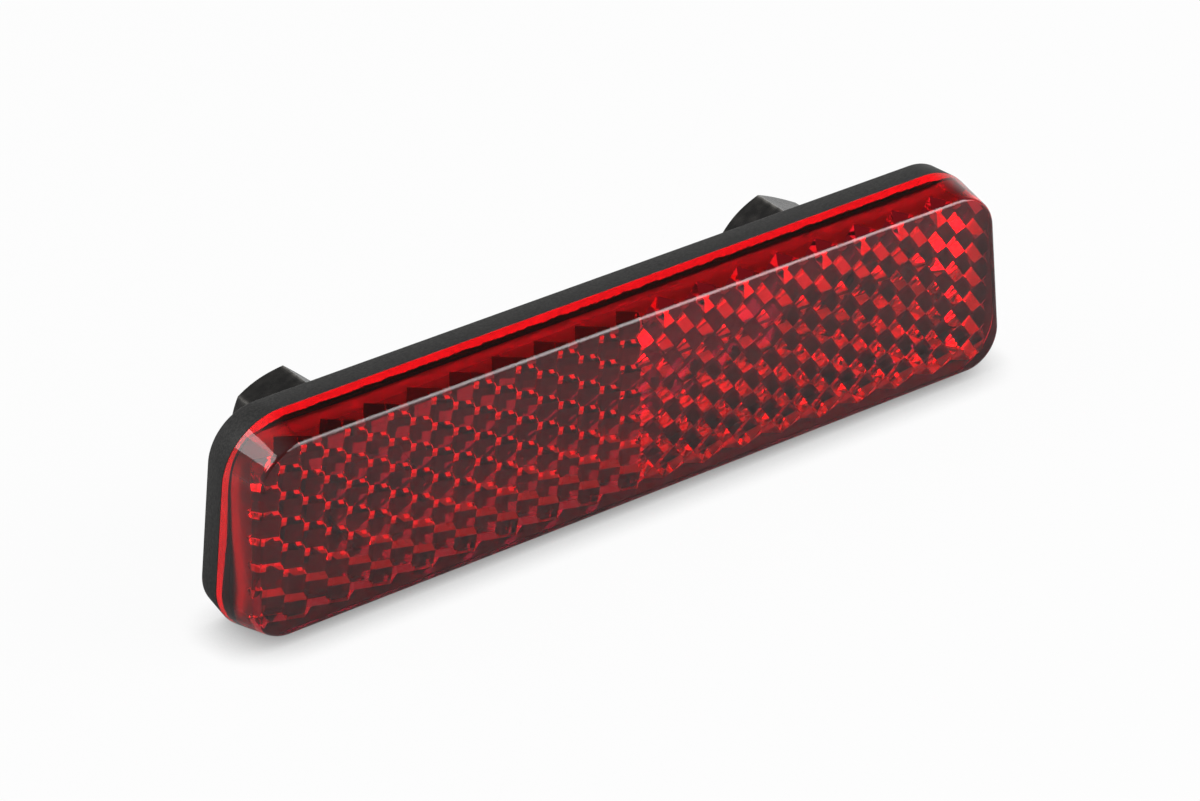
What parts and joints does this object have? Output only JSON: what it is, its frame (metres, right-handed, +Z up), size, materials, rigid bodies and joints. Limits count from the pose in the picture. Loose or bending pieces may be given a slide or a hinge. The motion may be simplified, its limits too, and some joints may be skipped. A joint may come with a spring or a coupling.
{
  "type": "rack reflector",
  "caption": "Oblong red prismatic rear reflector with a black housing and rear studs with nuts, for bolting to a bicycle rack.",
  "frame": {"origin": "on the flat rear face, midway between the studs", "axes": "+X along the reflector, +Y out of the rear face towards the rack, +Z up; the prismatic face looks to -Y"},
  "size_m": [0.078, 0.0177, 0.019],
  "materials": {
    "lens_red": "clear red moulding, polished face",
    "housing_black": "fine satin",
    "stud_steel": "black zinc",
    "nut_black": "black zinc"
  },
  "bodies": {
    "root": {"prism_lens": "lens_red", "rear_housing": "housing_black", "mounting_studs": "stud_steel", "hex_nuts": "nut_black"}
  },
  "joints": []
}
